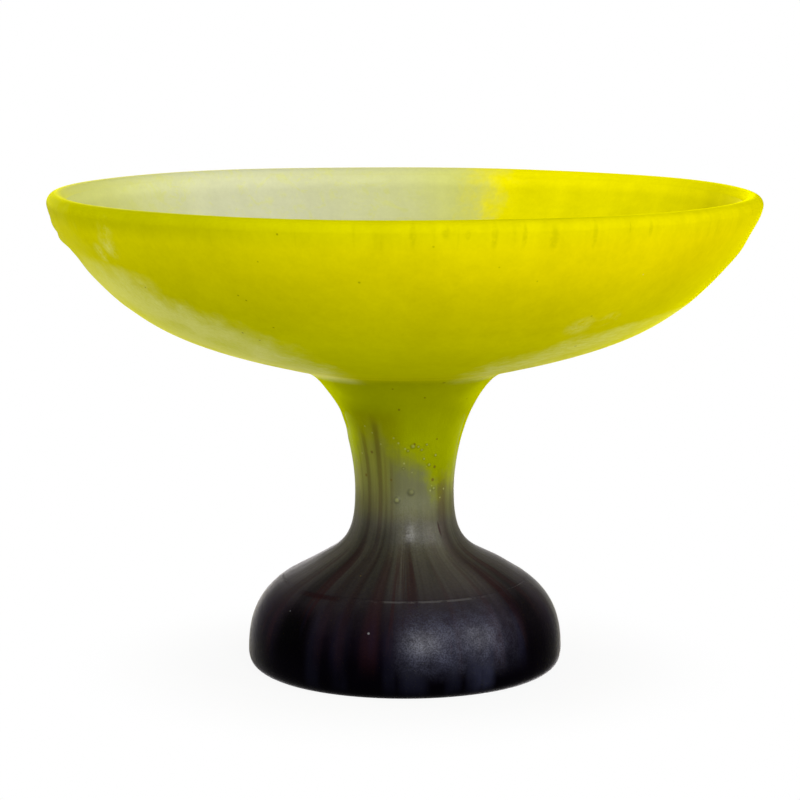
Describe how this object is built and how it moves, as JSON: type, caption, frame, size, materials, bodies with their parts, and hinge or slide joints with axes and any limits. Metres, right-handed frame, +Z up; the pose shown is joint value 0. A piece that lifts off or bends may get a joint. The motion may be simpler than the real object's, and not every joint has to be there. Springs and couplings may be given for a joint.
{
  "type": "footed glass bowl",
  "caption": "Wide shallow satin glass bowl with a rounded lip, on a flared waisted stem and an open bell-shaped foot, for fruit or display.",
  "frame": {"origin": "centre of the circle on which the foot stands", "axes": "+Z up along the axis of the turned form; -Y is the front that the picture shows, +X is to its right"},
  "size_m": [0.26, 0.26, 0.1769],
  "materials": {
    "yellow_glass": "satin, acid-etched, yellow-green, nearly opaque",
    "pale_glass": "satin, milky pale green inner casing",
    "olive_glass": "satin yellow skin drawn down over the stem in tongues",
    "smoky_glass": "satin grey-violet with dark drawn streaks and blisters",
    "violet_glass": "satin dark violet, nearly black, with radial streaks"
  },
  "bodies": {
    "root": {"bowl_body": "yellow_glass", "bowl_lining": "pale_glass", "stem_casing": "olive_glass", "stem_core": "smoky_glass", "foot_bell": "violet_glass"}
  },
  "joints": []
}
